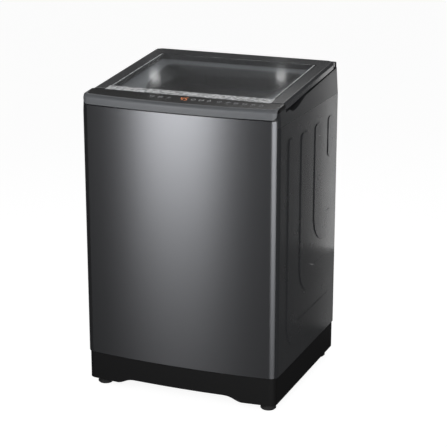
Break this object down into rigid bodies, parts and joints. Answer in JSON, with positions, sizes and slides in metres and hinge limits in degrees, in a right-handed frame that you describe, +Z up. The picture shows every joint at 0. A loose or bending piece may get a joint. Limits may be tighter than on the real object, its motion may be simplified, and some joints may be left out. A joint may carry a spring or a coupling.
{
  "type": "top load washing machine",
  "caption": "Free-standing top load washing machine: bowed front, hinged glass lid, funnel mouth, sprung tub, spinning drum and pulsator, belt drive.",
  "frame": {"origin": "on the floor, in the middle of the overall width and depth", "axes": "+Z up, front faces -Y, +X to the right seen from the front"},
  "size_m": [0.604, 0.572, 0.9377],
  "materials": {
    "painted_steel": "satin",
    "brushed_front": "satin",
    "galvanised": "satin",
    "black_plastic": "matte",
    "dark_plastic": "satin",
    "gloss_black": "gloss",
    "circuit": "satin",
    "display": "gloss",
    "tinted_glass": "clear",
    "bright_trim": "satin",
    "rubber": "matte",
    "steel": "polished",
    "white_plastic": "satin",
    "grey_plastic": "gloss",
    "stainless": "brushed",
    "cast_aluminium": "cast",
    "motor_case": "satin",
    "mount_rubber": "matte",
    "capacitor_case": "satin"
  },
  "bodies": {
    "cabinet": {"front_panel": "brushed_front", "left_side_panel": "painted_steel", "right_side_panel": "painted_steel", "back_panel": "galvanised", "rear_service_cover": "galvanised", "base_plinth": "black_plastic", "rear_feet": "mount_rubber", "corner_brackets": "galvanised", "rod_seats": "white_plastic", "suspension_rods": "steel", "top_frame": "dark_plastic", "front_fascia": "brushed_front", "control_panel": "gloss_black", "control_board": "circuit", "display_module": "display", "board_tray": "black_plastic", "hinge_brackets": "black_plastic", "rear_hinge_cover": "black_plastic", "dispenser_housing": "white_plastic", "inlet_valve": "white_plastic", "inlet_hose": "rubber", "drain_outlet": "black_plastic", "cable_gland": "black_plastic", "run_capacitor": "capacitor_case", "pressure_sensor": "black_plastic", "lid_lock": "black_plastic"},
    "lid": {"lid_frame": "dark_plastic", "lid_glass": "tinted_glass", "lid_trims": "bright_trim", "lid_inner_frame": "dark_plastic", "lid_bumpers": "rubber", "hinge_pins": "steel"},
    "drawer": {"detergent_drawer": "grey_plastic"},
    "tub": {"outer_tub": "white_plastic", "tub_cover": "white_plastic", "damper_cups": "white_plastic", "suspension_springs": "steel", "drive_bracket": "galvanised", "clutch_housing": "cast_aluminium", "shaft_seal": "rubber", "motor_body": "motor_case", "motor_mounts": "mount_rubber", "drive_belt": "rubber", "drain_valve": "white_plastic", "drain_actuator": "black_plastic", "drain_hose": "rubber", "air_trap": "black_plastic", "pressure_tube": "rubber"},
    "basket": {"basket_wall": "stainless", "basket_base": "grey_plastic", "balance_ring": "grey_plastic", "hub_flange": "cast_aluminium", "lint_filters": "grey_plastic"},
    "pulsator": {"pulsator": "grey_plastic", "pulsator_screw": "steel", "drive_shaft": "steel", "driven_pulley": "cast_aluminium"},
    "rotor": {"motor_rotor": "steel"},
    "left_foot": {"front_left_foot": "mount_rubber"},
    "right_foot": {"front_right_foot": "mount_rubber"}
  },
  "joints": [
    {"name": "lid_hinge", "type": "hinge", "parent": "cabinet", "child": "lid", "pos_m": [0, 0.23216, 0.92668], "axis": [-1, 0, 0], "range_deg": [0, 98]},
    {"name": "drawer_slide", "type": "slide", "parent": "cabinet", "child": "drawer", "axis": [0, -1, 0], "range_m": [0, 0.045]},
    {"name": "tub_suspension", "type": "slide", "parent": "cabinet", "child": "tub", "axis": [0, 0, 1], "range_m": [-0.02, 0.015], "stiffness_N_per_m": 24000, "springref_m": 0.01007, "deforming": ["suspension_springs"]},
    {"name": "basket_spin", "type": "hinge", "parent": "tub", "child": "basket", "pos_m": [0, -0.014, 0.3], "axis": [0, 0, 1], "continuous": true},
    {"name": "pulsator_spin", "type": "hinge", "parent": "tub", "child": "pulsator", "pos_m": [0, -0.014, 0.3], "axis": [0, 0, 1], "continuous": true},
    {"name": "motor_spin", "type": "hinge", "parent": "tub", "child": "rotor", "pos_m": [0, 0.136, 0.15], "axis": [0, 0, 1], "continuous": true},
    {"name": "left_foot_screw", "type": "slide", "parent": "cabinet", "child": "left_foot", "axis": [0, 0, -1], "range_m": [0, 0.015]},
    {"name": "right_foot_screw", "type": "slide", "parent": "cabinet", "child": "right_foot", "axis": [0, 0, -1], "range_m": [0, 0.015]}
  ],
  "couplings": [
    {"joint": "motor_spin", "follows": "pulsator_spin", "ratio": 2.8}
  ]
}
